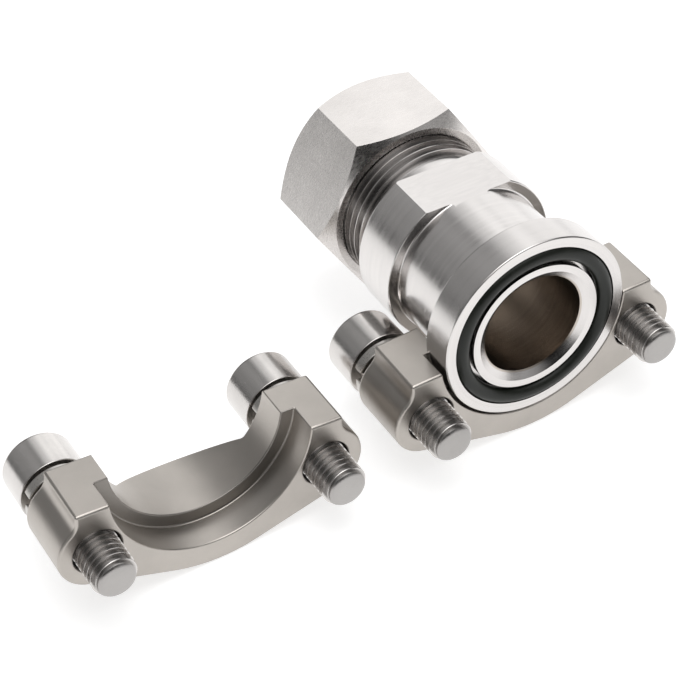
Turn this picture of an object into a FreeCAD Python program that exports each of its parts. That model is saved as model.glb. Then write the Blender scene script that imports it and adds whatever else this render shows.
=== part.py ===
import FreeCAD, Part
import math
import os

# Split flange connection, size 1 inch (light duty pattern), with a 28 mm cutting ring tube end.
# Millimetres. +Z up, +X along the line of the two screws, +Y along the flange axis, away from
# the sealing face. The origin is on the flange axis, in the plane where the shoulder of the
# flange head seats in the flange half.

# ADAPTER: flange head, neck, spanner collar
head_d = 44.45          # outside of the flange head
head_t = 8.0            # from the sealing face to the shoulder
head_edge = 0.35        # edge break round the head
neck_d = 36.0
collar_gap = 2.4        # from the arch of the half to the spanner collar
neck_blend = 1.2        # radius between neck and collar
collar_d = 41.0
collar_len = 13.0
collar_edge = 0.6
flats_af = 35.0         # across the two spanner flats
flats_turn = -2.5       # turn of the flats about the flange axis, degrees
bore_d = 24.0
mouth_w = 1.8           # chamfer at the mouth of the bore, width and depth
mouth_deep = 1.2

# ADAPTER: tube end, with an M36 x 2 thread made plain at its outside diameter
tube_d = 28.0           # outside of the tube that the fitting takes
tube_gap = 0.05         # clearance round the tube in its socket
socket_len = 6.0        # straight part of the tube socket
cone_w = 1.1            # how much the sealing cone widens from socket to mouth, on the radius
cone_half = 12.0        # half angle of the cone, degrees
thread_wall = 2.85      # from the mouth of the cone to the outside of the thread
thread_len = 22.0
thread_edge = 1.3       # lead chamfer of the thread
relief_w = 3.0          # undercut between collar and thread, its width and depth
relief_deep = 1.3

# SEAL RING and its groove in the sealing face
ring_section = 3.53
ring_gap = 0.03         # to the outer wall and the floor of the groove
ring_proud = 0.76       # how far it stands out of the face
groove_land = 2.425     # face left between the groove and the outside of the head
groove_room = 0.82      # by how much the groove is wider than the ring

# CUTTING RING
cut_len = 9.6           # whole length
cut_in = 4.0            # how far its nose reaches into the cone
cut_bore_gap = 0.1      # clearance round the tube
cut_side_gap = 1.55     # from its outside to the nut's thread bore
cut_tail = 1.1          # wall at the tail
cut_gap = 0.04          # to the cone and to the nut

# UNION NUT
nut_wall = 2.45         # from the thread bore to the flats, which makes it 41 across the flats
nut_len = 24.0
nut_start = 10.6        # thread left showing between collar and nut
nut_face_w = 1.55       # ring of flat face left by the front chamfer
nut_front_angle = 30.0
nut_back_w = 4.05       # ring of flat face left by the back cone
nut_back_angle = 42.0
nut_bore_gap = 0.05     # running clearance over the thread
nut_bore_edge = 0.3
nut_tube_gap = 0.25     # clearance of the tube hole at the back
shoulder_half = 45.0    # half angle of the nut's inner shoulder, degrees

# SCREWS, M10 x 30 socket head, thread made plain at its outside diameter
screw_d = 10.0
shank_d = 9.6           # thread inside half and washer, plain just under its outside diameter
screw_free = 0.6        # from the half's front face to where the full diameter starts
screw_len = 30.0
screw_head_d = 16.0
screw_head_len = 10.0
screw_head_round = 0.9
screw_tip_edge = 1.1
key_af = 8.0
key_deep = 5.0
key_edge = 0.4

# SPRING WASHERS, as they are before they are pressed flat
washer_t = 2.5
washer_bore_gap = 0.1   # round the screw
washer_in = 0.2         # how far its outside lies inside that of the screw head
washer_rise = 1.5       # height that one end stands above the other
washer_slit = 14.0      # slit, degrees
washer_end = 155.0      # where the high end lies round the screw, degrees from +X towards +Z
washer_gap = 0.02       # between the low end and the ear
head_stand = 0.6        # the screw isn't done up: its head stands this far off the high end

# FLANGE HALF
part_gap = 2.0          # from the flange axis to the parting face
head_proud = 0.5        # how far the head stands out of the half's front face
head_gap = 0.725        # round the head in its recess
neck_gap = 1.8          # round the neck
half_t = 23.3           # whole thickness, at the arch
ear_t = 15.8            # thickness under the screw heads
ear_r = 8.7             # round of the ear about the screw
ear_step = 4.1          # from the screw out to the end of the parting face
flare_r = 4.0           # hollow blend from the parting face's end to the ear
belly_r = 34.0
belly_drop = 28.6       # from the flange axis to the lowest point
arch_w = 29.6           # width of the arch on the back
half_round = 0.7        # round of the outer edges
half_edge = 0.4         # edge break of recess and holes
hole_gap = 0.5          # round the screw in its hole
hole_wall = 0.8425      # between recess and hole, which sets the screws 52.4 apart
pitch_z = 26.2          # between the screws of the two halves when bolted up

# THE SECOND HALF, standing by itself beside the flange
loose_gap = 5.4         # from ear to ear
loose_y = 3.2
loose_roll = 5.0        # it stands a little rolled on its round belly, degrees


def V(x, y, z):
    return FreeCAD.Vector(x, y, z)


def turned(points):
    """Body of revolution about the flange axis from a list of (radius, y)."""
    wire = Part.makePolygon([V(r, y, 0) for r, y in points + points[:1]])
    return Part.Face(wire).revolve(V(0, 0, 0), V(0, 1, 0), 360)


def hex_prism(af, y0, length):
    """Hexagon across flats af, flats level at top and bottom, from y0 along +Y."""
    r = af / 2 / math.cos(math.radians(30))
    corners = []
    for k in range(7):
        a = math.radians(60 * k)
        corners.append(V(r * math.cos(a), y0, r * math.sin(a)))
    return Part.Face(Part.makePolygon(corners)).extrude(V(0, length, 0))


def arc_xz(cx, cz, r, a0, a1, y):
    """Arc in the plane y, angles in degrees from +X towards +Z."""
    pts = []
    for a in (a0, (a0 + a1) / 2, a1):
        t = math.radians(a)
        pts.append(V(cx + r * math.cos(t), y, cz + r * math.sin(t)))
    return Part.Arc(*pts).toShape()


def line(p, q):
    return Part.LineSegment(p, q).toShape()


# flange half: what it clamps sets its recess, its bore and the place of its screws
recess_deep = head_t - head_proud
recess_r = head_d / 2 + head_gap
half_bore_r = neck_d / 2 + neck_gap
hole_r = screw_d / 2 + hole_gap
half_y = -recess_deep
ear_y = half_y + ear_t
arch_y = half_y + half_t
screw_z = -pitch_z / 2
screw_x = math.sqrt((recess_r + hole_wall + hole_r) ** 2 - screw_z ** 2)
ear_top_x = screw_x + ear_step
loose_x = -2 * (screw_x + ear_r) - loose_gap

# places along the flange axis, and radii that several pieces share
face_y = -head_t
collar_y = arch_y + collar_gap
thread_y = collar_y + collar_len
end_y = thread_y + thread_len
nut_y = thread_y + nut_start
tube_r = tube_d / 2
socket_r = tube_r + tube_gap
cone_r = socket_r + cone_w
cone_slope = math.tan(math.radians(cone_half))
cone_y = end_y - cone_w / cone_slope
stop_y = cone_y - socket_len
thread_r = cone_r + thread_wall
groove_or = head_d / 2 - groove_land
groove_ir = groove_or - ring_section - groove_room
groove_deep = ring_section + ring_gap - ring_proud

# the nut's inner shoulder bears on the tail of the cutting ring
nut_bore_r = thread_r + nut_bore_gap
nut_hole_r = tube_r + nut_tube_gap
nut_half = nut_bore_r + nut_wall
cut_or = nut_bore_r - cut_side_gap
nose_y = end_y - cut_in
tail_y = nose_y + cut_len
tail_r = tube_r + cut_bore_gap + cut_tail
shoulder_slope = math.tan(math.radians(shoulder_half))
shoulder_gap = cut_gap / math.sin(math.radians(shoulder_half))
shoulder_y = tail_y - (nut_bore_r - shoulder_gap - tail_r) / shoulder_slope
hole_y = shoulder_y + (nut_bore_r - nut_hole_r) / shoulder_slope


def make_adapter():
    hr = head_d / 2
    cr = collar_d / 2
    tr = thread_r
    nr = neck_d / 2
    # edge breaks and blend are limited by the step that carries them
    edge = min(collar_edge, (cr - max(nr, tr)) * 0.4)
    tip_edge = min(thread_edge, thread_wall * 0.5)
    relief_r = tr - min(relief_deep, thread_wall * 0.5)
    relief_y = thread_y + relief_w
    blend_r = min(neck_blend, (cr - edge - nr) * 0.9)
    profile = [
        (bore_d / 2, face_y + mouth_deep), (bore_d / 2 + mouth_w, face_y),
        (groove_ir, face_y), (groove_ir, face_y + groove_deep),
        (groove_or, face_y + groove_deep), (groove_or, face_y),
        (hr - head_edge, face_y), (hr, face_y + head_edge),
        (hr, -head_edge), (hr - head_edge, 0),
        (nr, 0), (nr, collar_y),
        (cr - edge, collar_y), (cr, collar_y + edge),
        (cr, thread_y - edge), (cr - edge, thread_y),
        (relief_r, thread_y), (relief_r, relief_y), (tr, relief_y + tr - relief_r),
        (tr, end_y - tip_edge), (tr - tip_edge, end_y),
        (cone_r, end_y), (socket_r, cone_y), (socket_r, stop_y),
        (bore_d / 2, stop_y),
    ]
    body = turned(profile)
    # blend between neck and collar
    web = turned([(nr - 0.5, collar_y - blend_r), (nr, collar_y - blend_r),
                  (nr + blend_r, collar_y), (nr - 0.5, collar_y)])
    ball = Part.makeTorus(nr + blend_r, blend_r, V(0, collar_y - blend_r, 0), V(0, 1, 0))
    body = body.fuse(web.cut(ball)).removeSplitter()
    # two spanner flats, milled across collar and blend
    flat_h = cr - flats_af / 2 + 1
    for side in (1, -1):
        cut = Part.makeBox(2 * cr, collar_len + blend_r, flat_h,
                           V(-cr, collar_y - blend_r, flats_af / 2))
        if side < 0:
            cut = cut.mirror(V(0, 0, 0), V(0, 0, 1))
        cut.rotate(V(0, 0, 0), V(0, 1, 0), -flats_turn)
        body = body.cut(cut)
    return body


def make_seal():
    r = ring_section / 2
    return Part.makeTorus(groove_or - ring_gap - r, r,
                          V(0, face_y + groove_deep - ring_gap - r, 0), V(0, 1, 0))


def make_nut():
    corner = nut_half / math.cos(math.radians(30)) + 1
    face_r = nut_bore_r + nut_bore_edge + nut_face_w
    back_r = nut_hole_r + nut_bore_edge + nut_back_w
    front = (corner - face_r) * math.tan(math.radians(nut_front_angle))
    back = (corner - back_r) * math.tan(math.radians(nut_back_angle))
    far = nut_y + nut_len
    edge = nut_bore_edge
    hull = turned([
        (nut_bore_r + edge, nut_y), (face_r, nut_y), (corner, nut_y + front),
        (corner, far - back), (back_r, far),
        (nut_hole_r + edge, far), (nut_hole_r, far - edge),
        (nut_hole_r, hole_y), (nut_bore_r, shoulder_y), (nut_bore_r, nut_y + edge),
    ])
    return hex_prism(2 * nut_half, nut_y, nut_len).common(hull)


def make_cutting_ring():
    inner = tube_r + cut_bore_gap
    normal = cut_gap / math.cos(math.radians(cone_half))
    nose_r = cone_r - cut_in * cone_slope - normal
    step_y = end_y + cut_gap
    step_r = cone_r + cut_gap * cone_slope - normal
    band_y = step_y + (cut_or - step_r) * 0.6
    edge_y = tail_y - (cut_or - tail_r) / shoulder_slope
    return turned([
        (inner, nose_y), (nose_r, nose_y), (step_r, step_y),
        (cut_or, band_y), (cut_or, edge_y), (tail_r, tail_y), (inner, tail_y),
    ])


def half_outline():
    """Front outline of a half in the plane of its front face: parting face, ears and belly."""
    y = half_y
    top = -part_gap
    # hollow blend: touches the straight end and the ear's round, and starts below the corner round
    corner = half_round
    room = top - corner - 0.05 - screw_z
    flare = min(flare_r, (room ** 2 - ear_r ** 2 + ear_step ** 2) / (2 * (ear_r - ear_step)))
    fx = ear_top_x + flare
    reach = ear_r + flare
    fz = screw_z + math.sqrt(reach ** 2 - (fx - screw_x) ** 2)
    to_ear = math.degrees(math.atan2(screw_z - fz, screw_x - fx)) % 360
    # straight run that touches the ear's round and the belly
    bz = belly_r - belly_drop
    run_x = screw_x
    run_z = bz - screw_z
    span = math.hypot(run_x, run_z)
    lean = math.degrees(math.atan2(run_x, run_z) - math.acos((belly_r - ear_r) / span))
    a_ear = -90 + lean
    edges = []
    for s in (1, -1):
        def m(shape):
            return shape if s > 0 else shape.mirror(V(0, 0, 0), V(1, 0, 0))
        edges.append(m(arc_xz(ear_top_x - corner, top - corner, corner, 90, 0, y)))
        edges.append(m(line(V(ear_top_x, y, top - corner), V(ear_top_x, y, fz))))
        edges.append(m(arc_xz(fx, fz, flare, 180, to_ear, y)))
        edges.append(m(arc_xz(screw_x, screw_z, ear_r, to_ear - 180, a_ear, y)))
        t = math.radians(a_ear)
        p = V(screw_x + ear_r * math.cos(t), y, screw_z + ear_r * math.sin(t))
        q = V(belly_r * math.cos(t), y, bz + belly_r * math.sin(t))
        edges.append(m(line(p, q)))
    edges.append(arc_xz(0, bz, belly_r, a_ear, -180 - a_ear, y))
    edges.append(line(V(corner - ear_top_x, y, top), V(ear_top_x - corner, y, top)))
    return Part.Wire(Part.__sortEdges__(edges))


def make_half():
    block = Part.Face(half_outline()).extrude(V(0, half_t, 0))
    # plan view: thin ears, thick arch in the middle of the back
    wide = screw_x + ear_r + 5
    w = arch_w / 2
    deep = belly_drop + 5
    front_y = half_y - 1
    plan = Part.Wire([
        line(V(-wide, front_y, 0), V(wide, front_y, 0)),
        line(V(wide, front_y, 0), V(wide, ear_y, 0)),
        line(V(wide, ear_y, 0), V(w, ear_y, 0)),
        Part.Arc(V(w, ear_y, 0), V(0, arch_y, 0), V(-w, ear_y, 0)).toShape(),
        line(V(-w, ear_y, 0), V(-wide, ear_y, 0)),
        line(V(-wide, ear_y, 0), V(-wide, front_y, 0)),
    ])
    block = block.common(Part.Face(plan).extrude(V(0, 0, -deep)))
    # round the edges of the front face and of the ears' back
    outer = []
    for e in block.Edges:
        box = e.BoundBox
        flat_front = abs(box.YMin - half_y) < 1e-4 and abs(box.YMax - half_y) < 1e-4
        flat_back = abs(box.YMin - ear_y) < 1e-4 and abs(box.YMax - ear_y) < 1e-4
        foot = abs(box.XMax - box.XMin) < 1e-4 and abs(box.XMax) < ear_top_x - 1
        if flat_front or (flat_back and not foot):
            outer.append(e)
    block = block.makeFillet(half_round * 0.9, outer)
    y_axis = V(0, 1, 0)
    block = block.cut(Part.makeCylinder(half_bore_r, half_t + 2, V(0, front_y, 0), y_axis))
    rr = recess_r
    recess = turned([
        (0, front_y), (rr + half_edge + 1, front_y), (rr + half_edge, half_y),
        (rr, half_y + half_edge), (rr, 0), (0, 0),
    ])
    block = block.cut(recess)
    for s in (1, -1):
        hole = turned([
            (0, front_y), (hole_r + half_edge + 1, front_y), (hole_r + half_edge, half_y),
            (hole_r, half_y + half_edge), (hole_r, ear_y - half_edge), (hole_r + half_edge, ear_y),
            (hole_r + half_edge, ear_y + 1), (0, ear_y + 1),
        ])
        hole.translate(V(s * screw_x, 0, screw_z))
        block = block.cut(hole)
    return block


def make_washer():
    """Split ring wound as a left-hand helix, its low end resting on the ear."""
    r0 = screw_d / 2 + washer_bore_gap
    r1 = screw_head_d / 2 - washer_in
    turn = 360 - washer_slit
    pitch = washer_rise * 360 / turn
    path = Part.makeHelix(pitch, washer_rise, (r0 + r1) / 2)
    section = Part.makePolygon([V(r0, 0, 0), V(r1, 0, 0), V(r1, 0, washer_t),
                                V(r0, 0, washer_t), V(r0, 0, 0)])
    ring = Part.Wire(path).makePipeShell([section], True, True)
    ring.rotate(V(0, 0, 0), V(0, 0, 1), washer_end - turn)
    ring.rotate(V(0, 0, 0), V(1, 0, 0), -90)
    ring = ring.mirror(V(0, 0, 0), V(0, 0, 1))
    ring.translate(V(0, ear_y + washer_gap, 0))
    return ring


washer_h = washer_rise + washer_t
under_head = ear_y + washer_gap + washer_h + head_stand


def make_screw():
    r = screw_d / 2
    hr = screw_head_d / 2
    tip = under_head - screw_len
    top = under_head + screw_head_len
    shank_r = shank_d / 2
    full_y = half_y - screw_free
    screw = turned([
        (0, tip), (r - screw_tip_edge, tip), (r, tip + screw_tip_edge),
        (r, full_y), (shank_r, full_y + r - shank_r),
        (shank_r, under_head), (hr, under_head), (hr, top), (0, top),
    ])
    rim = [e for e in screw.Edges if abs(e.BoundBox.YMin - top) < 1e-4 and e.Length > math.pi * hr]
    screw = screw.makeFillet(screw_head_round, rim)
    kr = key_af / 2 / math.cos(math.radians(30))
    key = hex_prism(key_af, top - key_deep, key_deep + 1)
    drill = turned([(0, top - key_deep - 1.6), (key_af / 2, top - key_deep), (0, top - key_deep)])
    mouth = turned([(0, top + 0.5), (kr + key_edge + 0.5, top + 0.5), (kr - 0.2, top - key_edge - 0.2),
                    (0, top - key_edge - 0.2)])
    return screw.cut(key).cut(drill).cut(mouth)


def stand_loose(shape):
    """Where the second half, its screws and washers stand: rolled on the belly, on the same table."""
    roll = math.radians(loose_roll)
    lift = (belly_r - belly_drop) * (1 - math.cos(roll))
    shape = shape.copy()
    shape.rotate(V(0, 0, 0), V(0, 1, 0), loose_roll)
    shape.translate(V(loose_x, loose_y, lift))
    return shape


half = make_half()
screw = make_screw()
washer = make_washer()

pieces = {
    "adapter_body": make_adapter(),
    "o_ring": make_seal(),
    "union_nut": make_nut(),
    "cutting_ring": make_cutting_ring(),
    "half_fitted": half,
    "half_loose": stand_loose(half),
}
for n, side in ((1, -1), (2, 1)):
    place = V(side * screw_x, 0, screw_z)
    for name, shape in (("screw", screw), ("washer", washer)):
        moved = shape.copy()
        moved.translate(place)
        pieces[f"{name}_{n}"] = moved
        pieces[f"{name}_{n + 2}"] = stand_loose(moved)

os.makedirs("parts", exist_ok=True)
for name, shape in pieces.items():
    shape.exportStep(f"parts/{name}.step")
    solids = len(shape.Solids)
    print(name, "solids", solids, "valid", shape.isValid(), "volume", round(shape.Volume, 1))
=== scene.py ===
import bpy
import math
from mathutils import Matrix, Vector


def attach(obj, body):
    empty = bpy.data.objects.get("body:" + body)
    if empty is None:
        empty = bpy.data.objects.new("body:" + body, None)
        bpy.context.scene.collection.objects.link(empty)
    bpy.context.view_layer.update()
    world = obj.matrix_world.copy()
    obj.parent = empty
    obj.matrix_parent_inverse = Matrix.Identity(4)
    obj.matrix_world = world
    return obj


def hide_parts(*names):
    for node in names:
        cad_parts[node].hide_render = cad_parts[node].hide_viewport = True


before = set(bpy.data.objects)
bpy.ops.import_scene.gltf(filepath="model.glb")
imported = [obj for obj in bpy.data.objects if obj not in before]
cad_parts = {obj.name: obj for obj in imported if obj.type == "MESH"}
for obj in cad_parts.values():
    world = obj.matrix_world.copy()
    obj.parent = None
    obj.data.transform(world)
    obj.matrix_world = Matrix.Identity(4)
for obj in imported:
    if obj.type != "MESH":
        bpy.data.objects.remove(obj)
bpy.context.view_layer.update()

# Split flange connection in stainless steel. Metres and degrees, in the frame of the CAD model:
# the flange axis is Y, the sealing face looks along -Y, and the shoulder of the head lies in the
# plane y = 0.

MM = 0.001

# Turned body, from its sealing face to the end of its thread
face_y = -8.0 * MM
head_r = 22.225 * MM
groove_out = 19.8 * MM
groove_in = 15.45 * MM
groove_floor = -5.2 * MM
mouth_r = 13.8 * MM
mouth_y = -6.8 * MM
bore_r = 12.0 * MM
neck_r = 18.0 * MM
collar_r = 20.5 * MM
collar_y = 18.2 * MM
flats_half = 17.5 * MM
flats_turn = -2.5
flats_lead = 1.2 * MM
thread_y = 31.2 * MM
relief_y = 34.2 * MM
thread_r = 18.0 * MM
thread_chamfer = 1.3 * MM
relief_r = thread_r - thread_chamfer
body_pitch = 2.0 * MM
end_y = 53.2 * MM
cone_r = 15.15 * MM
cone_y = 48.025 * MM
socket_r = 14.05 * MM
stop_y = 42.025 * MM

# Seal
seal_r = 3.53 * MM / 2
seal_gap = 0.03 * MM

# Nut
nut_y = 41.8 * MM
nut_end = 65.8 * MM
nut_half = 20.5 * MM
nut_face_r = 19.9 * MM
nut_face_cone = 30
nut_back_r = 18.6 * MM
nut_back_cone = 42
nut_bore_r = 18.05 * MM
nut_hole_r = 14.25 * MM
nut_shoulder_y = 55.99 * MM
nut_hole_y = 59.79 * MM
nut_lip = 0.3 * MM

# Flange half
half_y = -7.5 * MM
ear_y = 8.3 * MM
arch_y = 15.8 * MM
arch_half = 14.8 * MM
part_z = -2.0 * MM
screw_x = 26.2 * MM
screw_z = -13.1 * MM
ear_r = 8.7 * MM
ear_top_x = 30.3 * MM
flare_r = 4.0 * MM
belly_r = 34.0 * MM
belly_z = 5.4 * MM
recess_r = 22.95 * MM
half_bore_r = 19.8 * MM
hole_r = 5.5 * MM

# Washers and screws
washer_in = 5.1 * MM
washer_out = 7.8 * MM
washer_y = 8.32 * MM
washer_thick = 2.5 * MM
washer_rise = 1.5 * MM
washer_slit = 14.0
washer_end = 155.0
screw_r = 5.0 * MM
screw_pitch = 1.5 * MM
screw_head_r = 8.0 * MM
under_head = washer_y + washer_rise + washer_thick + 0.6 * MM
screw_tip = under_head - 30.0 * MM
screw_top = under_head + 10.0 * MM
screw_plain = 4.5 * MM
key_half = 4.0 * MM
key_deep = 5.0 * MM
drill_point = 1.6 * MM
screw_side = {1: -1, 2: 1, 3: -1, 4: 1}
loose_screws = (3, 4)

# The second half stands beside the flange, rolled on its belly
loose_x = -75.2 * MM
loose_y = 3.2 * MM
loose_roll = math.radians(5.0)
loose_lift = belly_z * (1 - math.cos(loose_roll))

# How far a cutting tool reaches past the work, and the sides of a round piece or tool
past = 5 * MM
lathe_sides = 192
screw_sides = 96
drill_sides = 64

# The table lies just under the bellies of the halves
table_z = -28.62 * MM

# Rotation that lays a round primitive along the flange axis
along_y = (math.pi / 2, 0, 0)


# Modelling helpers

def deselect():
    if bpy.context.object and bpy.context.object.mode != "OBJECT":
        bpy.ops.object.mode_set(mode="OBJECT")
    bpy.ops.object.select_all(action="DESELECT")


def activate(obj):
    deselect()
    obj.select_set(True)
    bpy.context.view_layer.objects.active = obj


def place(obj):
    """Put the object's place into its mesh."""
    activate(obj)
    bpy.ops.object.transform_apply(location=True, rotation=True, scale=True)


def turn_about_axis(obj, degrees):
    """Turn a mesh about the flange axis."""
    obj.data.transform(Matrix.Rotation(math.radians(degrees), 4, "Y"))


def edit_all(obj):
    """Open a mesh for editing, with all of it selected."""
    activate(obj)
    bpy.ops.object.mode_set(mode="EDIT")
    bpy.ops.mesh.select_all(action="SELECT")


def close_edit():
    bpy.ops.object.mode_set(mode="OBJECT")


def merge_doubles(obj, distance):
    edit_all(obj)
    bpy.ops.mesh.remove_doubles(threshold=distance)
    close_edit()


def point_outwards(obj):
    edit_all(obj)
    bpy.ops.mesh.normals_make_consistent(inside=False)
    close_edit()


def cap_ends(obj, sides):
    """Close the open ends of a shell, of up to so many sides each."""
    activate(obj)
    bpy.ops.object.mode_set(mode="EDIT")
    bpy.ops.mesh.select_all(action="DESELECT")
    bpy.ops.mesh.select_non_manifold()
    bpy.ops.mesh.fill_holes(sides=sides)
    close_edit()


def tidy_mesh(obj, angle=30.0, merge=1e-6):
    """Merge doubles, point the faces outwards and smooth all but the sharp edges."""
    merge_doubles(obj, merge)
    point_outwards(obj)
    bpy.ops.object.shade_smooth_by_angle(angle=math.radians(angle))
    return obj


def apply_modifier(obj, name, kind, **settings):
    activate(obj)
    mod = obj.modifiers.new(name, kind)
    for key, value in settings.items():
        setattr(mod, key, value)
    bpy.ops.object.modifier_apply(modifier=mod.name)
    return obj


def even_shading(obj):
    """Let the large faces set the shading, so flats stay flat beside their rounded edges."""
    return apply_modifier(obj, "shading", "WEIGHTED_NORMAL", mode="FACE_AREA", weight=100,
                          keep_sharp=True)


def boolean(obj, tool, operation):
    apply_modifier(obj, "cut", "BOOLEAN", operation=operation, solver="EXACT", object=tool)
    bpy.data.objects.remove(tool)
    return obj


def lathe(name, rings, sides):
    """Lathe work about the flange axis: a circle, extruded from ring to ring of (radius, y)."""
    deselect()
    r, y = rings[0]
    bpy.ops.mesh.primitive_circle_add(vertices=sides, radius=r, location=(0, y, 0),
                                      rotation=along_y)
    obj = bpy.context.object
    obj.name = name
    place(obj)
    edit_all(obj)
    for r_new, y_new in rings[1:]:
        bpy.ops.mesh.extrude_edges_move(TRANSFORM_OT_translate={"value": (0, y_new - y, 0)})
        bpy.ops.transform.resize(value=(r_new / r, 1, r_new / r), center_override=(0, y_new, 0))
        r, y = r_new, y_new
    close_edit()
    return obj


def ring_turned(name, rings):
    """Lathe work with a bore: the profile closes on its first ring."""
    return tidy_mesh(lathe(name, rings + rings[:1], lathe_sides))


def spindle(name, rings, sides):
    """Lathe work with closed ends."""
    obj = lathe(name, rings, sides)
    cap_ends(obj, sides)
    return tidy_mesh(obj)


def round_corner(before, here, after, radius, steps=4):
    """Rings that round the corner between two straight runs of a profile."""
    a = Vector((before[0] - here[0], before[1] - here[1])).normalized()
    b = Vector((after[0] - here[0], after[1] - here[1])).normalized()
    half_angle = a.angle(b) / 2
    reach = radius / math.tan(half_angle)
    centre = Vector(here) + (a + b).normalized() * (radius / math.sin(half_angle))
    start = Vector(here) + a * reach - centre
    end = Vector(here) + b * reach - centre
    return [tuple(centre + start.slerp(end, k / steps).normalized() * start.length)
            for k in range(steps + 1)]


def profile(*corners):
    """Rings of a profile. A sharp corner is (radius, y), and a rounded one (radius, y, size of the
    round), with its number of steps after it where that isn't 4."""
    rings = []
    for k, (r, y, *soft) in enumerate(corners):
        if soft:
            rings += round_corner(corners[k - 1], (r, y), corners[k + 1], *soft)
        else:
            rings.append((r, y))
    return rings


def drum(r, y0, y1, x=0.0, z=0.0, sides=lathe_sides):
    """Plain round tool along the flange axis, for a hole or a bore."""
    deselect()
    bpy.ops.mesh.primitive_cylinder_add(vertices=sides, radius=r, depth=y1 - y0,
                                        location=(x, (y0 + y1) / 2, z), rotation=along_y)
    obj = bpy.context.object
    place(obj)
    return obj


def hexagon(name, half, depth, middle_y):
    """Hexagon bar along the flange axis, from half its width across flats. Two of its flats lie
    above and below."""
    deselect()
    bpy.ops.mesh.primitive_cylinder_add(vertices=6, radius=half / math.cos(math.radians(30)),
                                        depth=depth, location=(0, middle_y, 0), rotation=along_y)
    obj = bpy.context.object
    obj.name = name
    place(obj)
    turn_about_axis(obj, 30)
    return obj


def wind_up(section, angle, climb, steps, turns=1):
    """Wind a flat section round the flange axis as a helix, and close its two ends."""
    apply_modifier(section, "helix", "SCREW", axis="Y", angle=angle, screw_offset=climb,
                   iterations=turns, steps=steps, render_steps=steps, use_smooth_shade=False)
    merge_doubles(section, distance=1e-7)
    cap_ends(section, sides=6)


def thread_groove(r, pitch, y0, y1, steps):
    """The helical groove of a right-hand metric thread, with broken crests, as the solid that the
    die removes. Its section is a trapezium from the root up, and a wider one that breaks the
    crests and stands a little proud of them."""
    depth = 0.6134 * pitch
    broken = 0.05 * pitch
    over = 0.02 * pitch
    root = 0.01 * pitch
    flank = root + (depth - broken) * math.tan(math.radians(30))
    mouth = flank + (broken + over) * math.tan(math.radians(60))
    deselect()
    bpy.ops.mesh.primitive_plane_add(size=1, location=(r - depth, y0, 0))
    groove = bpy.context.object
    place(groove)
    bpy.ops.object.mode_set(mode="EDIT")
    bpy.ops.mesh.select_mode(type="VERT")
    bpy.ops.mesh.select_all(action="SELECT")
    bpy.ops.transform.resize(value=(depth - broken, 2 * root, 1),
                             center_override=(r - depth, y0, 0))
    bpy.ops.transform.translate(value=((depth - broken) / 2, 0, 0))
    close_edit()
    for v in groove.data.vertices:
        v.select = v.co.x > r - depth / 2
    bpy.ops.object.mode_set(mode="EDIT")
    bpy.ops.transform.resize(value=(1, flank / root, 1), center_override=(r, y0, 0))
    bpy.ops.mesh.extrude_edges_move(TRANSFORM_OT_translate={"value": (broken + over, 0, 0)})
    bpy.ops.transform.resize(value=(1, mouth / flank, 1), center_override=(r, y0, 0))
    bpy.ops.mesh.select_mode(type="FACE")
    bpy.ops.mesh.select_all(action="SELECT")
    bpy.ops.mesh.dissolve_faces(use_verts=False)
    bpy.ops.mesh.select_mode(type="VERT")
    close_edit()
    wind_up(groove, 2 * math.pi, pitch, steps, math.ceil((y1 - y0) / pitch))
    point_outwards(groove)
    return groove


def first_point(x, y, z):
    """One point to draw an outline from, selected and open for editing."""
    deselect()
    bpy.ops.mesh.primitive_plane_add(size=MM, location=(x, y, z))
    obj = bpy.context.object
    place(obj)
    bpy.ops.object.mode_set(mode="EDIT")
    bpy.ops.mesh.select_mode(type="VERT")
    bpy.ops.mesh.select_all(action="SELECT")
    bpy.ops.mesh.merge(type="CENTER")
    bpy.ops.mesh.select_all(action="SELECT")
    return obj


def draw_line(dx, dy, dz):
    """Carry an outline on from its last point in a straight line."""
    bpy.ops.mesh.extrude_vertices_move(TRANSFORM_OT_translate={"value": (dx, dy, dz)})


def draw_arc(centre, axis, angle, steps):
    """Carry an outline on from its last point round a centre."""
    bpy.ops.mesh.spin(steps=steps, angle=angle, center=centre, axis=axis)


def fill_outline(obj):
    edit_all(obj)
    bpy.ops.mesh.edge_face_add()
    close_edit()


def raise_solid(outline, offset):
    """Turn a flat outline into a solid."""
    edit_all(outline)
    bpy.ops.mesh.extrude_region_move(
        TRANSFORM_OT_translate={"value": offset, "orient_type": "GLOBAL"})
    close_edit()
    point_outwards(outline)
    return outline


def soften(obj, width, share_of, segments):
    """Round the sharp edges with a Bevel modifier, each by its share of the width, which share_of
    gives from the edge's two ends."""
    sharp = math.radians(28)
    mesh = obj.data
    normals = {}
    for face in mesh.polygons:
        for key in face.edge_keys:
            normals.setdefault(key, []).append(face.normal.copy())
    weight = mesh.attributes.new("bevel_weight_edge", "FLOAT", "EDGE")
    for edge in mesh.edges:
        sides = normals.get(edge.key, [])
        if len(sides) == 2 and sides[0].angle(sides[1], 0) > sharp:
            a, b = (mesh.vertices[i].co for i in edge.vertices)
            weight.data[edge.index].value = share_of(a, b)
    return apply_modifier(obj, "edges", "BEVEL", width=width, segments=segments,
                          limit_method="WEIGHT", use_clamp_overlap=False)


def stand_loose(obj):
    """Move a finished piece to the second half's place: rolled on the belly, on the same table."""
    obj.data.transform(Matrix.Translation((loose_x, loose_y, loose_lift))
                       @ Matrix.Rotation(loose_roll, 4, "Y"))
    return obj


def loose_place(x, z):
    """Where a point of the fitted half's cross-section comes to lie in the second half's place."""
    point = Matrix.Rotation(loose_roll, 4, "Y") @ Vector((x, 0, z))
    return loose_x + point.x, point.z + loose_lift


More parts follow.
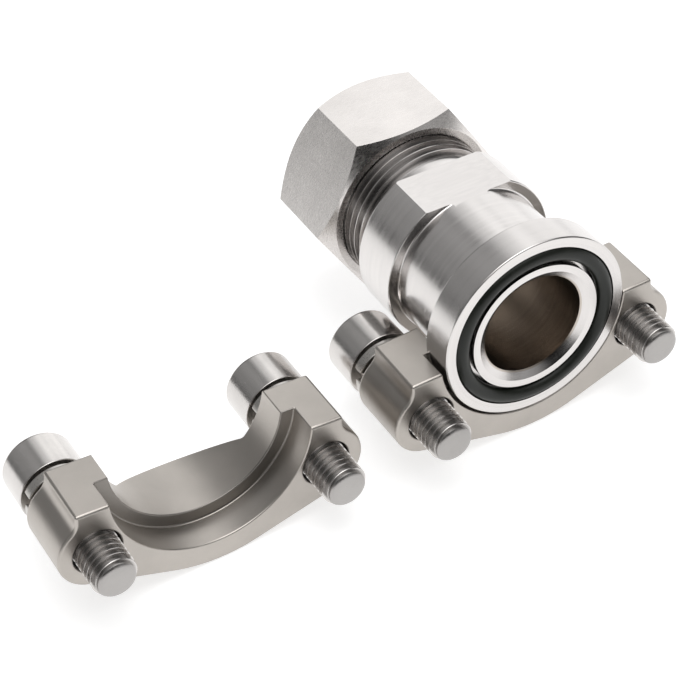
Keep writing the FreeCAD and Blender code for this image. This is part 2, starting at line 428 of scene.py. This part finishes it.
def copy_of(obj, name):
    deselect()
    new = obj.copy()
    new.data = obj.data.copy()
    new.name = name
    bpy.context.scene.collection.objects.link(new)
    return new


# Finishing helpers. A value below is an output of a node.

# The span that holds most of a noise's values
noise_span = (0.3, 0.7)


def new_finish(name):
    mat = bpy.data.materials.new(name)
    mat.use_nodes = True
    return mat, mat.node_tree, mat.node_tree.nodes["Principled BSDF"]


def calculate(tree, operation, *values):
    """Math node of values and numbers."""
    n = tree.nodes.new("ShaderNodeMath")
    n.operation = operation
    for entry, value in zip(n.inputs, values):
        if isinstance(value, float):
            entry.default_value = value
        else:
            tree.links.new(value, entry)
    return n.outputs[0]


def ramp(tree, source, low, high, start=0.0, stop=1.0):
    """Map a value's span from start to stop onto the range from low to high."""
    n = tree.nodes.new("ShaderNodeMapRange")
    n.inputs["From Min"].default_value = start
    n.inputs["From Max"].default_value = stop
    n.inputs["To Min"].default_value = low
    n.inputs["To Max"].default_value = high
    tree.links.new(source, n.inputs["Value"])
    return n.outputs["Result"]


def colour_mix(tree, factor, first, second):
    """Mix a colour, or a value that carries one, with a second colour."""
    n = tree.nodes.new("ShaderNodeMix")
    n.data_type = "RGBA"
    if isinstance(first, tuple):
        n.inputs["A"].default_value = (*first, 1)
    else:
        tree.links.new(first, n.inputs["A"])
    n.inputs["B"].default_value = (*second, 1)
    tree.links.new(factor, n.inputs["Factor"])
    return n.outputs["Result"]


def darker(tree, colour, value, low, high, share):
    """Scale a colour down to its share below low, and leave it as it is above high."""
    n = tree.nodes.new("ShaderNodeVectorMath")
    n.operation = "SCALE"
    tree.links.new(colour, n.inputs[0])
    tree.links.new(ramp(tree, value, share, 1.0, low, high), n.inputs["Scale"])
    return n.outputs["Vector"]


def bumps(tree, shader, *heights):
    """Chain of bump nodes, each of (height, strength, distance)."""
    last = None
    for height, strength, distance in heights:
        n = tree.nodes.new("ShaderNodeBump")
        n.inputs["Strength"].default_value = strength
        n.inputs["Distance"].default_value = distance
        tree.links.new(height, n.inputs["Height"])
        if last:
            tree.links.new(last, n.inputs["Normal"])
        last = n.outputs["Normal"]
    tree.links.new(last, shader.inputs["Normal"])


def noise(tree, vector, scale, detail, rough):
    n = tree.nodes.new("ShaderNodeTexNoise")
    n.inputs["Scale"].default_value = scale
    n.inputs["Detail"].default_value = detail
    n.inputs["Roughness"].default_value = rough
    tree.links.new(vector, n.inputs["Vector"])
    return n.outputs["Fac"]


def grain(tree, coords, scale, detail, rough):
    """Noise with a scale of its own along each axis."""
    n = tree.nodes.new("ShaderNodeMapping")
    n.inputs["Scale"].default_value = scale
    tree.links.new(coords, n.inputs["Vector"])
    return noise(tree, n.outputs["Vector"], 1.0, detail, rough)


def object_coords(tree):
    return tree.nodes.new("ShaderNodeTexCoord").outputs["Object"]


def round_coords(tree, coords, centre=(0.0, 0.0)):
    """Distance from an axis along Y, and the place along it."""
    split = tree.nodes.new("ShaderNodeSeparateXYZ")
    tree.links.new(coords, split.inputs[0])
    across = tree.nodes.new("ShaderNodeCombineXYZ")
    for axis, offset in zip("XZ", centre):
        tree.links.new(calculate(tree, "SUBTRACT", split.outputs[axis], offset),
                       across.inputs[axis])
    length = tree.nodes.new("ShaderNodeVectorMath")
    length.operation = "LENGTH"
    tree.links.new(across.outputs[0], length.inputs[0])
    return length.outputs["Value"], split.outputs["Y"]


# Finishes

def turned_steel(name, tone, rough, bore, thread_from, root, crest):
    """Lathe-turned steel: fine marks that run round the axis, painted shade that darkens the
    drilled bore inside the radius bore, and painted shade that darkens the thread roots from
    thread_from on."""
    mark_scale, band_scale, patch_scale = 9000, 1100, 90.0
    gloss_spread = 0.03
    # Painted shade inside the bore, as a darker tint of the tone.
    bore_shade_tint = (0.74, 0.69, 0.63)
    # Painted shade in the thread roots keeps this share of the colour.
    root_shade_share = 0.60
    bore_edge, thread_edge = 0.1 * MM, 0.2 * MM
    mat, tree, shader = new_finish(name)
    coords = object_coords(tree)
    radius, along = round_coords(tree, coords)
    worked = tree.nodes.new("ShaderNodeCombineXYZ")
    tree.links.new(radius, worked.inputs["X"])
    tree.links.new(along, worked.inputs["Y"])
    marks = grain(tree, worked.outputs[0], (mark_scale, mark_scale, 1), detail=3.0, rough=0.6)
    bands = grain(tree, worked.outputs[0], (band_scale, band_scale, 1), detail=2.0, rough=0.5)
    patches = noise(tree, coords, patch_scale, detail=3.0, rough=0.55)
    shader.inputs["Metallic"].default_value = 1.0
    shader.inputs["Anisotropic"].default_value = 0.55
    tangent = tree.nodes.new("ShaderNodeTangent")
    tangent.direction_type = "RADIAL"
    tangent.axis = "Y"
    tree.links.new(tangent.outputs["Tangent"], shader.inputs["Tangent"])
    dark = tuple(c * 0.93 for c in tone)
    colour = colour_mix(tree, ramp(tree, bands, 0, 1, *noise_span), dark, tone)
    # Painted shade: the colour inside the bore is darkened to stand for the shade in it.
    inside = ramp(tree, radius, 1.0, 0.0, bore, bore + bore_edge)
    colour = colour_mix(tree, inside, colour, tuple(c * t for c, t in zip(tone, bore_shade_tint)))
    # Painted shade: the colour is darkened in the thread roots, from thread_from on.
    off_thread = ramp(tree, along, 1.0, 0.0, thread_from, thread_from + thread_edge)
    off_root = ramp(tree, radius, 0.0, 1.0, root, crest)
    root_unshaded = calculate(tree, "MAXIMUM", off_thread, off_root)
    tree.links.new(darker(tree, colour, root_unshaded, 0.0, 1.0, root_shade_share), shader.inputs["Base Color"])
    gloss = calculate(tree, "ADD",
                      ramp(tree, bands, rough - gloss_spread, rough + gloss_spread, *noise_span),
                      ramp(tree, patches, -gloss_spread, gloss_spread, *noise_span))
    tree.links.new(gloss, shader.inputs["Roughness"])
    bumps(tree, shader, (marks, 0.2, 0.006 * MM), (patches, 0.04, 0.2 * MM))
    return mat


def ground_steel(name, tone, rough, scale, axis=None, root=0.0, crest=1.0):
    """Satin steel with a fine even grain. Round an axis along Y, if one is given, it gets darker
    and duller from the radius crest down to the radius root: the darkening is painted shade in the
    thread roots."""
    patch_scale = 70.0
    gloss_spread = 0.06
    # Painted shade in the thread roots keeps this share of the colour.
    root_shade_share = 0.62
    root_matt = 0.1
    mat, tree, shader = new_finish(name)
    coords = object_coords(tree)
    fine = grain(tree, coords, scale, detail=3.0, rough=0.6)
    patches = noise(tree, coords, patch_scale, detail=4.0, rough=0.6)
    shader.inputs["Metallic"].default_value = 1.0
    dark = tuple(c * 0.88 for c in tone)
    colour = colour_mix(tree, ramp(tree, patches, 0, 1, *noise_span), dark, tone)
    gloss = ramp(tree, fine, rough - gloss_spread, rough + gloss_spread, 0.25, 0.75)
    if axis:
        radius, _ = round_coords(tree, coords, axis)
        # Painted shade: the colour darkens towards the thread roots.
        colour = darker(tree, colour, radius, root, crest, root_shade_share)
        gloss = calculate(tree, "ADD", gloss, ramp(tree, radius, root_matt, 0.0, root, crest))
    tree.links.new(colour, shader.inputs["Base Color"])
    tree.links.new(gloss, shader.inputs["Roughness"])
    bumps(tree, shader, (fine, 0.16, 0.04 * MM), (patches, 0.1, 0.4 * MM))
    return mat


def paint_shoulder_shade(material, axis, shoulder_y, radius, share):
    """Painted shade on the turned shoulder of a half, which lies in one plane inside a radius
    round its axis: the shoulder is darkened to the given share where the recess shades it."""
    near = 0.3 * MM
    edge = 0.1 * MM
    tree = material.node_tree
    tint = tree.nodes["Principled BSDF"].inputs["Base Color"]
    distance, along = round_coords(tree, object_coords(tree), axis)
    # Painted shade on the shoulder, where the recess shades it.
    shoulder_shade = calculate(tree, "MULTIPLY", calculate(tree, "COMPARE", along, shoulder_y, near),
                       ramp(tree, distance, 1.0, 0.0, radius, radius + edge))
    colour = tint.links[0].from_socket
    tree.links.new(darker(tree, colour, shoulder_shade, 1.0, 0.0, share), tint)
    return material


def seal_rubber(name):
    """Black rubber with a fine skin and a little dust."""
    skin_scale, dust_scale = 2500.0, 260.0
    black = (0.005, 0.007, 0.004)
    dusty = (0.012, 0.014, 0.010)
    mat, tree, shader = new_finish(name)
    coords = object_coords(tree)
    skin = noise(tree, coords, skin_scale, detail=3.0, rough=0.6)
    dust = noise(tree, coords, dust_scale, detail=4.0, rough=0.7)
    tree.links.new(colour_mix(tree, ramp(tree, dust, 0, 1, 0.45, 0.8), black, dusty),
                   shader.inputs["Base Color"])
    shader.inputs["Specular IOR Level"].default_value = 0.36
    tree.links.new(ramp(tree, dust, 0.34, 0.48, *noise_span), shader.inputs["Roughness"])
    bumps(tree, shader, (skin, 0.15, 0.03 * MM))
    return mat


half_look = {"tone": (0.495, 0.462, 0.427), "rough": 0.37, "scale": (4500, 4500, 4500)}
small_grain = (2500, 2500, 2500)
screw_axes = {n: loose_place(side * screw_x, screw_z) if n in loose_screws
              else (side * screw_x, screw_z) for n, side in screw_side.items()}

body_steel = turned_steel("turned body steel", tone=(0.72, 0.695, 0.68), rough=0.22,
                          bore=bore_r + 0.3 * MM, thread_from=relief_y + 0.8 * MM,
                          root=thread_r - 1.2 * MM, crest=thread_r - 0.15 * MM)
nut_steel = ground_steel("milled nut steel", tone=(0.79, 0.757, 0.735), rough=0.27,
                         scale=(700, 5000, 700))
half_steel = ground_steel("satin flange half steel", **half_look)
# The loose half's finish has painted shade on its recess shoulder.
loose_steel = paint_shoulder_shade(ground_steel("satin loose half steel", **half_look),
                            axis=loose_place(0, 0), shoulder_y=loose_y,
                            radius=recess_r - 0.1 * MM, share=0.55)
screw_steel = {n: ground_steel(f"screw steel {n}", tone=(0.68, 0.655, 0.635), rough=0.22,
                               scale=small_grain, axis=axis, root=screw_r - 0.7 * MM,
                               crest=screw_r - 0.2 * MM) for n, axis in screw_axes.items()}
washer_steel = ground_steel("washer steel", tone=(0.60, 0.58, 0.55), rough=0.30,
                            scale=small_grain)
ring_steel = ground_steel("cutting ring steel", tone=(0.62, 0.60, 0.57), rough=0.32,
                          scale=(900, 9000, 900))
rubber = seal_rubber("seal rubber")


def finish(piece, material, body, node):
    """Give a piece its material, and let it ride on its body in place of a CAD node."""
    piece.data.materials.clear()
    piece.data.materials.append(material)
    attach(piece, body)
    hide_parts(node)


# Turned body

def make_body():
    """The turned profile with its thread and the collar's two flats. Two close rings on the neck
    keep its shading even up to the flats."""
    lip = 0.35 * MM
    fillet = 0.5 * MM
    collar_front, collar_back = 0.3 * MM, 0.6 * MM
    spare = 1 * MM
    flats_y = collar_y - flats_lead
    body = ring_turned("flange_body", profile(
        (bore_r, mouth_y), (mouth_r, face_y),
        (groove_in, face_y), (groove_in, groove_floor),
        (groove_out, groove_floor), (groove_out, face_y),
        (head_r, face_y, lip), (head_r, 0, lip), (neck_r, 0, fillet),
        (neck_r, flats_y - 0.8 * MM), (neck_r, flats_y - 0.4 * MM), (neck_r, collar_y, fillet),
        (collar_r, collar_y, collar_front), (collar_r, thread_y, collar_back),
        (relief_r, thread_y, fillet), (relief_r, relief_y),
        (thread_r, relief_y + thread_r - relief_r), (thread_r, end_y - thread_chamfer),
        (thread_r - thread_chamfer, end_y), (cone_r, end_y), (socket_r, cone_y),
        (socket_r, stop_y), (bore_r, stop_y)))
    boolean(body, thread_groove(thread_r, body_pitch, relief_y - spare, end_y + 2 * spare,
                                steps=96), "DIFFERENCE")
    depth = collar_r - flats_half + spare
    end = thread_y + spare
    for side in (1, -1):
        deselect()
        bpy.ops.mesh.primitive_cube_add(
            size=1, location=(0, (flats_y + end) / 2, side * (flats_half + depth / 2)),
            scale=(2.2 * collar_r, end - flats_y, depth))
        block = bpy.context.object
        place(block)
        turn_about_axis(block, -flats_turn)
        boolean(body, block, "DIFFERENCE")
    return even_shading(tidy_mesh(body, angle=28))


finish(make_body(), body_steel, "flange", "adapter_body")


# Seal ring in the groove of the head

def make_seal():
    deselect()
    bpy.ops.mesh.primitive_torus_add(major_segments=160, minor_segments=32,
                                     major_radius=groove_out - seal_gap - seal_r,
                                     minor_radius=seal_r, rotation=along_y,
                                     location=(0, groove_floor - seal_gap - seal_r, 0))
    seal = bpy.context.object
    seal.name = "seal_ring"
    place(seal)
    return tidy_mesh(seal, angle=60)


finish(make_seal(), rubber, "flange", "o_ring")


# Union nut: a hexagon, cut by a turned hull with a cone at each end

def make_nut():
    nut = hexagon("nut", nut_half, nut_end - nut_y, (nut_y + nut_end) / 2)
    hull_r = nut_half / math.cos(math.radians(30)) + 1 * MM
    front = (hull_r - nut_face_r) * math.tan(math.radians(nut_face_cone))
    back = (hull_r - nut_back_r) * math.tan(math.radians(nut_back_cone))
    hull = ring_turned("hull", [
        (nut_bore_r + nut_lip, nut_y), (nut_face_r, nut_y), (hull_r, nut_y + front),
        (hull_r, nut_end - back), (nut_back_r, nut_end), (nut_hole_r + nut_lip, nut_end),
        (nut_hole_r, nut_end - nut_lip), (nut_hole_r, nut_hole_y),
        (nut_bore_r, nut_shoulder_y), (nut_bore_r, nut_y + nut_lip)])
    boolean(nut, hull, "INTERSECT")
    tidy_mesh(nut, merge=1e-5)
    apply_modifier(nut, "edges", "BEVEL", width=0.25 * MM, segments=2, limit_method="ANGLE",
                   angle_limit=math.radians(24))
    return even_shading(tidy_mesh(nut))


finish(make_nut(), nut_steel, "nut", "union_nut")


# Flange half

def half_profile():
    """Front outline of a half, drawn with straight runs and arcs and mirrored, as one face."""
    out = (0, -1, 0)
    flare_x = ear_top_x + flare_r
    flare_z = screw_z + math.sqrt((ear_r + flare_r) ** 2 - (flare_x - screw_x) ** 2)
    to_ear = math.atan2(flare_x - screw_x, flare_z - screw_z)
    span = math.hypot(screw_x, belly_z - screw_z)
    lean = math.atan2(screw_x, belly_z - screw_z) - math.acos((belly_r - ear_r) / span)
    obj = first_point(0, half_y, part_z)
    draw_line(ear_top_x, 0, 0)
    draw_line(0, 0, flare_z - part_z)
    draw_arc((flare_x, half_y, flare_z), out, to_ear - math.pi / 2, 8)
    draw_arc((screw_x, half_y, screw_z), out, math.pi - lean - to_ear, 24)
    draw_line((belly_r - ear_r) * math.sin(lean) - screw_x, 0,
              belly_z - screw_z - (belly_r - ear_r) * math.cos(lean))
    draw_arc((0, half_y, belly_z), out, lean, 16)
    close_edit()
    apply_modifier(obj, "other side", "MIRROR", merge_threshold=1e-5)
    merge_doubles(obj, 1e-6)
    fill_outline(obj)
    return obj


def back_plan():
    """Plan view of a half seen from above: straight ears and an arched back, as one solid."""
    wide = 45 * MM
    low_z, high = -40 * MM, 50 * MM
    from_y = half_y - past
    rise = arch_y - ear_y
    arch_radius = (arch_half ** 2 + rise ** 2) / (2 * rise)
    centre_y = arch_y - arch_radius
    sweep = math.asin(arch_half / arch_radius)
    if centre_y > ear_y:
        sweep = math.pi - sweep
    obj = first_point(-wide, from_y, low_z)
    draw_line(0, ear_y - from_y, 0)
    draw_line(wide - arch_half, 0, 0)
    draw_arc((0, centre_y, low_z), (0, 0, 1), 2 * sweep, 40)
    draw_line(wide - arch_half, 0, 0)
    draw_line(0, from_y - ear_y, 0)
    fill_outline(obj)
    return raise_solid(obj, (0, 0, high))


def half_edges(a, b):
    """Rounds of a half: the outside most, the shoulder's corner and the bores least."""
    outside, recess, hole, bore = 1.0, 0.5, 0.45, 0.35
    near = 0.06 * MM
    ra, rb = math.hypot(a.x, a.z), math.hypot(b.x, b.z)
    if any(abs(math.hypot(a.x - x, a.z - screw_z) - hole_r) < near for x in (-screw_x, screw_x)):
        return hole
    if abs(ra - recess_r) < near and abs(rb - recess_r) < near:
        return recess
    if abs(ra - half_bore_r) < near and abs(rb - half_bore_r) < near:
        return bore
    if max(ra, rb) < recess_r + near and max(a.y, b.y) < ear_y - near:
        return bore
    return outside


def make_half():
    half = raise_solid(half_profile(), (0, arch_y - half_y, 0))
    half.name = "flange_half_fitted"
    boolean(half, back_plan(), "INTERSECT")
    boolean(half, drum(half_bore_r, half_y - past, arch_y + past), "DIFFERENCE")
    boolean(half, drum(recess_r, half_y - past, 0), "DIFFERENCE")
    for x in (-screw_x, screw_x):
        boolean(half, drum(hole_r, half_y - past, arch_y + past, x, screw_z, drill_sides),
                "DIFFERENCE")
    tidy_mesh(half, merge=1e-5)
    soften(half, width=0.6 * MM, share_of=half_edges, segments=3)
    return even_shading(tidy_mesh(half, angle=34))


half = make_half()
half_loose = stand_loose(copy_of(half, "flange_half_loose"))
finish(half, half_steel, "flange", "half_fitted")
finish(half_loose, loose_steel, "flange", "half_loose")


# Socket head screws and their washers

def make_screw():
    """A turned blank with a domed tip. Its socket is cut first, and its thread last."""
    r, hr = screw_r, screw_head_r
    dome = ((1.5, 0.0), (2.6, 0.04), (3.3, 0.12), (3.8, 0.28), (4.15, 0.55), (4.4, 0.90),
            (4.7, 1.35), (5.0, 1.85))
    screw = spindle("screw", profile(
        *((radius * MM, screw_tip + back * MM) for radius, back in dome),
        (r, under_head), (hr, under_head, 0.25 * MM, 2), (hr, screw_top, 0.9 * MM, 6),
        (r + 0.4 * MM, screw_top)), screw_sides)
    spare = 2 * MM
    boolean(screw, hexagon("key", key_half, key_deep + spare,
                           screw_top - key_deep / 2 + spare / 2), "DIFFERENCE")
    socket_y = screw_top - key_deep
    drill_r = key_half * 0.98
    drill = spindle("drill", [(0.05 * MM, socket_y - drill_point), (drill_r, socket_y + 0.02 * MM),
                              (drill_r, socket_y + 0.5 * MM)], drill_sides)
    boolean(screw, drill, "DIFFERENCE")
    corner = key_half / math.cos(math.radians(30))
    mouth = spindle("mouth", [(corner - 0.2 * MM, screw_top - 0.6 * MM),
                              (corner + 0.9 * MM, screw_top + 0.5 * MM)], drill_sides)
    boolean(screw, mouth, "DIFFERENCE")
    tidy_mesh(screw)
    boolean(screw, thread_groove(r, screw_pitch, screw_tip - spare, under_head - screw_plain,
                                 steps=56), "DIFFERENCE")
    return even_shading(tidy_mesh(screw))


def make_washer():
    """Split washer: a rectangle wound up as a left-hand helix, its edges rounded."""
    turn = 360 - washer_slit
    deselect()
    bpy.ops.mesh.primitive_plane_add(size=1, location=((washer_in + washer_out) / 2,
                                                       washer_y + washer_thick / 2, 0))
    ring = bpy.context.object
    ring.name = "washer"
    ring.scale = (washer_out - washer_in, washer_thick, 1)
    place(ring)
    wind_up(ring, -math.radians(turn), washer_rise, steps=120)
    turn_about_axis(ring, turn - washer_end)
    tidy_mesh(ring)
    soften(ring, width=0.22 * MM, share_of=lambda a, b: 1.0, segments=2)
    return even_shading(tidy_mesh(ring, angle=40))


screw = make_screw()
washer = make_washer()
for n, side in screw_side.items():
    for kind, pattern, material in (("screw", screw, screw_steel[n]),
                                    ("washer", washer, washer_steel)):
        piece = copy_of(pattern, f"socket_{kind}_{n}")
        piece.data.transform(Matrix.Translation((side * screw_x, 0, screw_z)))
        if n in loose_screws:
            stand_loose(piece)
        finish(piece, material, f"{kind}_{n}", f"{kind}_{n}")
bpy.data.objects.remove(screw)
bpy.data.objects.remove(washer)


# The CAD nodes get the same finishes

cad_finish = {"adapter_body": body_steel, "o_ring": rubber, "union_nut": nut_steel,
              "cutting_ring": ring_steel, "half_fitted": half_steel, "half_loose": loose_steel}
for n in screw_side:
    cad_finish[f"screw_{n}"] = screw_steel[n]
    cad_finish[f"washer_{n}"] = washer_steel
for name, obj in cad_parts.items():
    obj.data.materials.clear()
    obj.data.materials.append(cad_finish[name])


# Camera at the photograph's viewing angle, worked out for a square frame

def look(azimuth, elevation, distance, target, roll, focal_px, off_x, off_y, frame_px):
    """Camera that looks at a target, with its roll about the view, its focal length and the shift
    of its picture in pixels of the frame."""
    az, el = math.radians(azimuth), math.radians(elevation)
    back = Vector((-math.sin(az) * math.cos(el), -math.cos(az) * math.cos(el), math.sin(el)))
    level = Vector((math.cos(az), -math.sin(az), 0))
    upright = back.cross(level)
    c, s = math.cos(math.radians(roll)), math.sin(math.radians(roll))
    axes = Matrix((level * c + upright * s, upright * c - level * s, back)).transposed().to_4x4()
    cam = bpy.data.cameras.new("camera")
    cam.sensor_fit = "HORIZONTAL"
    cam.sensor_width = 36.0
    cam.lens = focal_px * cam.sensor_width / frame_px
    cam.shift_x = -off_x / frame_px
    cam.shift_y = off_y / frame_px
    cam.clip_start = 0.01
    cam.clip_end = 10
    obj = bpy.data.objects.new("camera", cam)
    bpy.context.scene.collection.objects.link(obj)
    obj.matrix_world = Matrix.Translation(Vector(target) + back * distance) @ axes
    bpy.context.scene.camera = obj


look(azimuth=25.916, elevation=42.146, distance=0.447506, target=(-0.042708, -0.000092, 0.012274),
     roll=-5.828, focal_px=2204.8, off_x=-2.64, off_y=0.724, frame_px=680)


# Table and light

def make_floor():
    """Pale table, lit from within a little, so it comes out as white as the photograph's."""
    mat, _, shader = new_finish("table")
    shader.inputs["Base Color"].default_value = (0.6, 0.6, 0.6, 1)
    shader.inputs["Roughness"].default_value = 0.7
    shader.inputs["Emission Color"].default_value = (1, 1, 1, 1)
    shader.inputs["Emission Strength"].default_value = 0.66
    deselect()
    bpy.ops.mesh.primitive_plane_add(size=3, location=(0, 0, table_z))
    floor = bpy.context.object
    floor.name = "floor"
    floor.data.materials.append(mat)
    place(floor)


make_floor()


# Soft panels round the studio: azimuth from +Y towards +X, elevation, half the width in degrees,
# and strength
panels = (
    (0, 90, 34, 1.60),
    (60, 66, 34, 0.67), (120, 66, 34, 1.05), (180, 66, 34, 0.95), (240, 66, 34, 0.65),
    (315, 38, 34, 0.20), (30, 8, 34, 0.62), (120, 8, 34, 0.15), (330, 8, 34, 0.16),
    (350, 46, 20, 0.11), (5, 50, 20, 0.05), (22, 46, 20, 0.73), (38, 34, 20, 0.62),
    (42, 18, 20, 0.37), (48, 4, 20, 0.55), (335, 44, 20, 0.12), (150, 12, 22, 0.35),
    (252, 20, 28, 0.35))
# The share of a panel's width that is at full strength
panel_core = 1 / 6


def light_studio():
    world = bpy.data.worlds.new("studio")
    world.use_nodes = True
    bpy.context.scene.world = world
    room = world.node_tree
    outlook = room.nodes.new("ShaderNodeTexCoord").outputs["Generated"]
    total = None
    for azimuth, elevation, width, strength in panels:
        az, el, wide = (math.radians(angle) for angle in (azimuth, elevation, width))
        facing = room.nodes.new("ShaderNodeVectorMath")
        facing.operation = "DOT_PRODUCT"
        facing.inputs[1].default_value = (math.sin(az) * math.cos(el),
                                          math.cos(az) * math.cos(el), math.sin(el))
        room.links.new(outlook, facing.inputs[0])
        glow = ramp(room, facing.outputs["Value"], 0, strength, math.cos(wide),
                    math.cos(wide * panel_core))
        glow.node.interpolation_type = "SMOOTHSTEP"
        total = calculate(room, "ADD", total, glow) if total else glow
    background = room.nodes["Background"]
    background.inputs["Color"].default_value = (1, 1, 1, 1)
    room.links.new(total, background.inputs["Strength"])


light_studio()
bpy.context.scene.view_settings.view_transform = "Standard"
